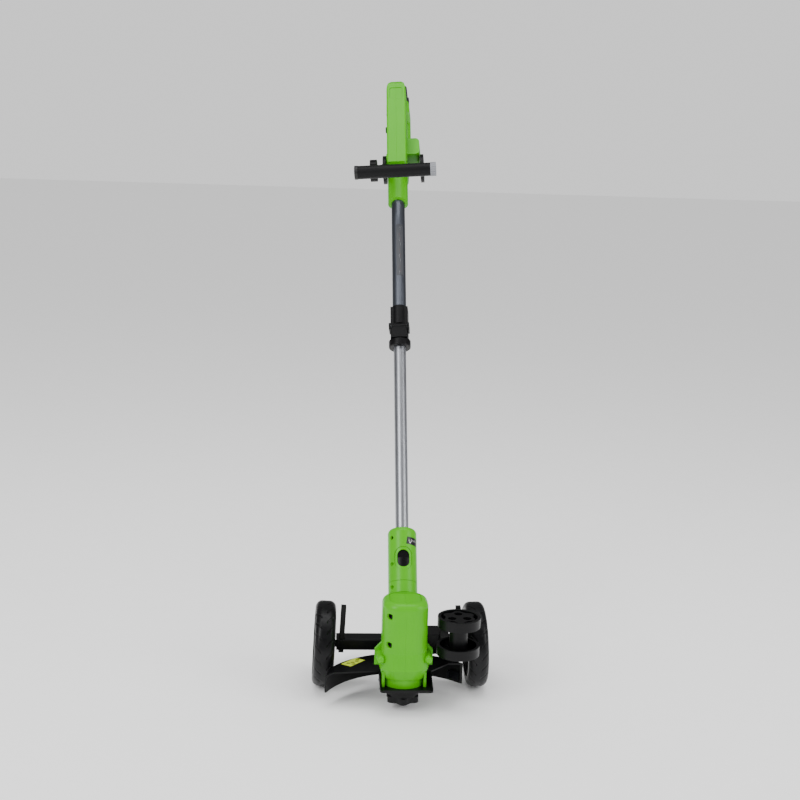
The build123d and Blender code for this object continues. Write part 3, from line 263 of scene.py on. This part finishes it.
# ------------------------------------------------------------------ printed labels
# Thin vinyl labels with generic marks only: a diamond on the guard's left wing, a slanted plate on
# the neck's right side, and a strip of pictogram blocks on the upper tube.
STAND_OFF = 0.12 * MM
INK_LIFT = 0.6            # how far a printed mark stands above its plate, as a share of STAND_OFF


def label(name, body, outlines, materials, at):
    """One label: each outline is (points in mm, material index); `at` maps a point and layer to space."""
    verts = []
    faces = []
    marks = []
    for layer, (points, index) in enumerate(outlines):
        first = len(verts)
        verts += [at(x * MM, y * MM, STAND_OFF * (1 + INK_LIFT * (layer > 0))) for x, y in points]
        faces.append(list(range(first, len(verts))))
        marks.append(index)
    mesh = bpy.data.meshes.new(name)
    mesh.from_pydata(verts, [], faces)
    for material in materials:
        mesh.materials.append(material)
    for face, index in zip(mesh.polygons, marks):
        face.material_index = index
    piece = bpy.data.objects.new(name, mesh)
    bpy.context.scene.collection.objects.link(piece)
    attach(piece, body)
    return piece


def block(x, y, width, height, slant=0.0):
    """A small four-cornered mark."""
    return [(x, y), (x + width, y), (x + width + slant, y + height), (x + slant, y + height)]


def strips(points, step):
    """Cuts a convex four-cornered mark into upright strips, so that it can bend round a tube."""
    (ax, ay), (bx, by), (cx, cy), (dx, dy) = points
    count = max(1, round(abs(bx - ax) / step))
    cut = []
    for i in range(count):
        s, e = i / count, (i + 1) / count
        cut.append([(ax + (bx - ax) * s, ay + (by - ay) * s), (ax + (bx - ax) * e, ay + (by - ay) * e),
                    (dx + (cx - dx) * e, dy + (cy - dy) * e), (dx + (cx - dx) * s, dy + (cy - dy) * s)])
    return cut


vinyl_yellow = moulded("vinyl_printed_yellow_green", "#b9cc2a", "#c6d838", 0.3, 0.4, 1.5 * MM, 0.01 * MM)
vinyl_black = moulded("vinyl_printed_black", "#0d0d0e", "#151517", 0.3, 0.4, 1.5 * MM, 0.01 * MM)
vinyl_white = moulded("vinyl_printed_white", "#d9dadb", "#e6e7e8", 0.35, 0.45, 1.5 * MM, 0.01 * MM)
vinyl_red = moulded("vinyl_printed_red", "#8f3a2c", "#a04534", 0.35, 0.45, 1.5 * MM, 0.01 * MM)
vinyl_grey = moulded("vinyl_printed_grey", "#34363a", "#404247", 0.35, 0.45, 1.5 * MM, 0.01 * MM)

# The diamond lies flat on the guard's left wing.
guard_low, guard_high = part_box("guard")
shaft_low, shaft_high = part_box("armature_shaft")
spindle = (shaft_low + shaft_high) / 2
DIAMOND_X = -81 * MM
DIAMOND_Y = 38 * MM


def on_guard(x, y, lift):
    return (spindle.x + DIAMOND_X + x, spindle.y + DIAMOND_Y + y, guard_high.z + lift)


diamond = [([(-19, -8), (-3, -18), (21, 9), (5, 18)], 0)]
diamond += [(block(x, y, 6, 3.2, 1.2), 1) for x, y in ((-10, -6), (-3, -2), (4, 3), (-2, -9.5), (5, 9))]
label("guard_label", "head", diamond, [vinyl_yellow, vinyl_black], on_guard)

# The plate wraps round the neck's right flank.
NECK_RADIUS = 24 * MM
NECK_LABEL_ANGLE = radians(40)


def on_neck(x, y, lift):
    turn = NECK_LABEL_ANGLE + x / NECK_RADIUS
    out = pole_right * sin(turn) - pole_back * cos(turn)
    return pole_foot + pole_up * y + out * (NECK_RADIUS + lift)


plate = [(p, 0) for p in strips([(-12, 62), (12, 60), (12, 73), (-10, 74.5)], 2.0)]
plate += [(block(-7, 65.5, 5, 5), 1), (block(-5.8, 63.6, 2, 2), 1), (block(0, 66.5, 3, 3), 1), (block(5, 66, 4, 4), 1)]
label("neck_label", "lower_pole", plate, [vinyl_black, vinyl_white], on_neck)

# The strip of pictograms runs along the front of the upper tube, a little to the right.
TUBE_RADIUS = 12.5 * MM
STICKER_ANGLE = radians(14)


def on_tube(x, y, lift):
    turn = STICKER_ANGLE + x / TUBE_RADIUS
    out = handle_right * sin(turn) - handle_back * cos(turn)
    return pole_foot + pole_up * y + out * (TUBE_RADIUS + lift)


STICKER_FROM = 574
STICKER_TO = 682
STICKER_ROWS = 9
ROW_STEP = 11.4
corners = [(-6.5, STICKER_FROM), (6.5, STICKER_FROM), (6.5, STICKER_TO), (-6.5, STICKER_TO)]
sticker = [(p, 0) for p in strips(corners, 1.3)]
for row in range(STICKER_ROWS):
    base = STICKER_FROM + 4 + ROW_STEP * row
    sticker.append((block(-5.2, base, 4.4, 6.4), 1 + row % 3))
    sticker.append((block(0.8, base + 1.5, 4.4, 6.4), 1 + (row + 1) % 3))
label("tube_label", "handle", sticker, [vinyl_grey, vinyl_white, vinyl_red, vinyl_black], on_tube)

# ------------------------------------------------------------------ floor, light and camera
# A pale floor under the wheels, three large soft lights, and a lens a little below the grip.
wheel_low, wheel_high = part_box("left_tyre")
floor_mesh = bpy.data.meshes.new("floor")
REACH = 60.0
floor_mesh.from_pydata([(-REACH, -REACH, wheel_low.z), (REACH, -REACH, wheel_low.z), (REACH, REACH, wheel_low.z),
                        (-REACH, REACH, wheel_low.z)], [], [(0, 1, 2, 3)])
floor = bpy.data.objects.new("floor", floor_mesh)
bpy.context.scene.collection.objects.link(floor)
floor_mesh.materials.append(moulded("studio_floor_white", "#f9f9f9", "#fcfcfc", 0.8, 0.9, 50 * MM, 0.01 * MM))

world = bpy.data.worlds.new("studio")
bpy.context.scene.world = world
world.use_nodes = True
# The white surround lights the tool evenly, but mirrors in it dimly, so that black stays black and
# the softboxes give the highlights.
ray = add(world.node_tree, "ShaderNodeLightPath").outputs["Is Glossy Ray"]
SURROUND = 1.0
MIRRORED = 0.18
strength = add(world.node_tree, "ShaderNodeMapRange", None, {"Value": ray, "To Min": SURROUND, "To Max": MIRRORED})
backdrop = world.node_tree.nodes["Background"]
backdrop.inputs["Color"].default_value = (1, 1, 1, 1)
world.node_tree.links.new(strength.outputs[0], backdrop.inputs["Strength"])


def softbox(name, place, aim, width, height, watts):
    """A large rectangular light that points at a place on the tool."""
    lamp = bpy.data.lights.new(name, "AREA")
    lamp.shape = "RECTANGLE"
    lamp.size = width
    lamp.size_y = height
    lamp.energy = watts
    holder = bpy.data.objects.new(name, lamp)
    holder.location = place
    holder.rotation_euler = (Vector(aim) - Vector(place)).to_track_quat("-Z", "Y").to_euler()
    bpy.context.scene.collection.objects.link(holder)


softbox("key", (-1.9, -2.1, 1.2), (0, -0.3, -0.5), 0.9, 1.9, 55)
softbox("fill", (2.2, -1.6, 0.5), (0, -0.3, -0.5), 1.2, 1.8, 30)
softbox("top", (0, -0.5, 1.9), (0, -0.4, -0.5), 2.0, 1.4, 30)

SENSOR_MM = 36.0
LENS_MM = 56.25
CAMERA_AT = (-0.1498, -2.4755, -0.0946)
CAMERA_AXES = ((0.9974, -0.0180, -0.0683), (-0.0639, 0.1806, -0.9813), (0.0299, 0.9832, 0.1790))
camera = bpy.data.cameras.new("camera")
camera.sensor_width = SENSOR_MM
camera.lens = LENS_MM
camera.clip_end = 3 * REACH
view = bpy.data.objects.new("camera", camera)
turn = Matrix(CAMERA_AXES).to_quaternion().to_matrix().to_4x4()
view.matrix_world = Matrix.Translation(CAMERA_AT) @ turn
bpy.context.scene.collection.objects.link(view)
bpy.context.scene.camera = view
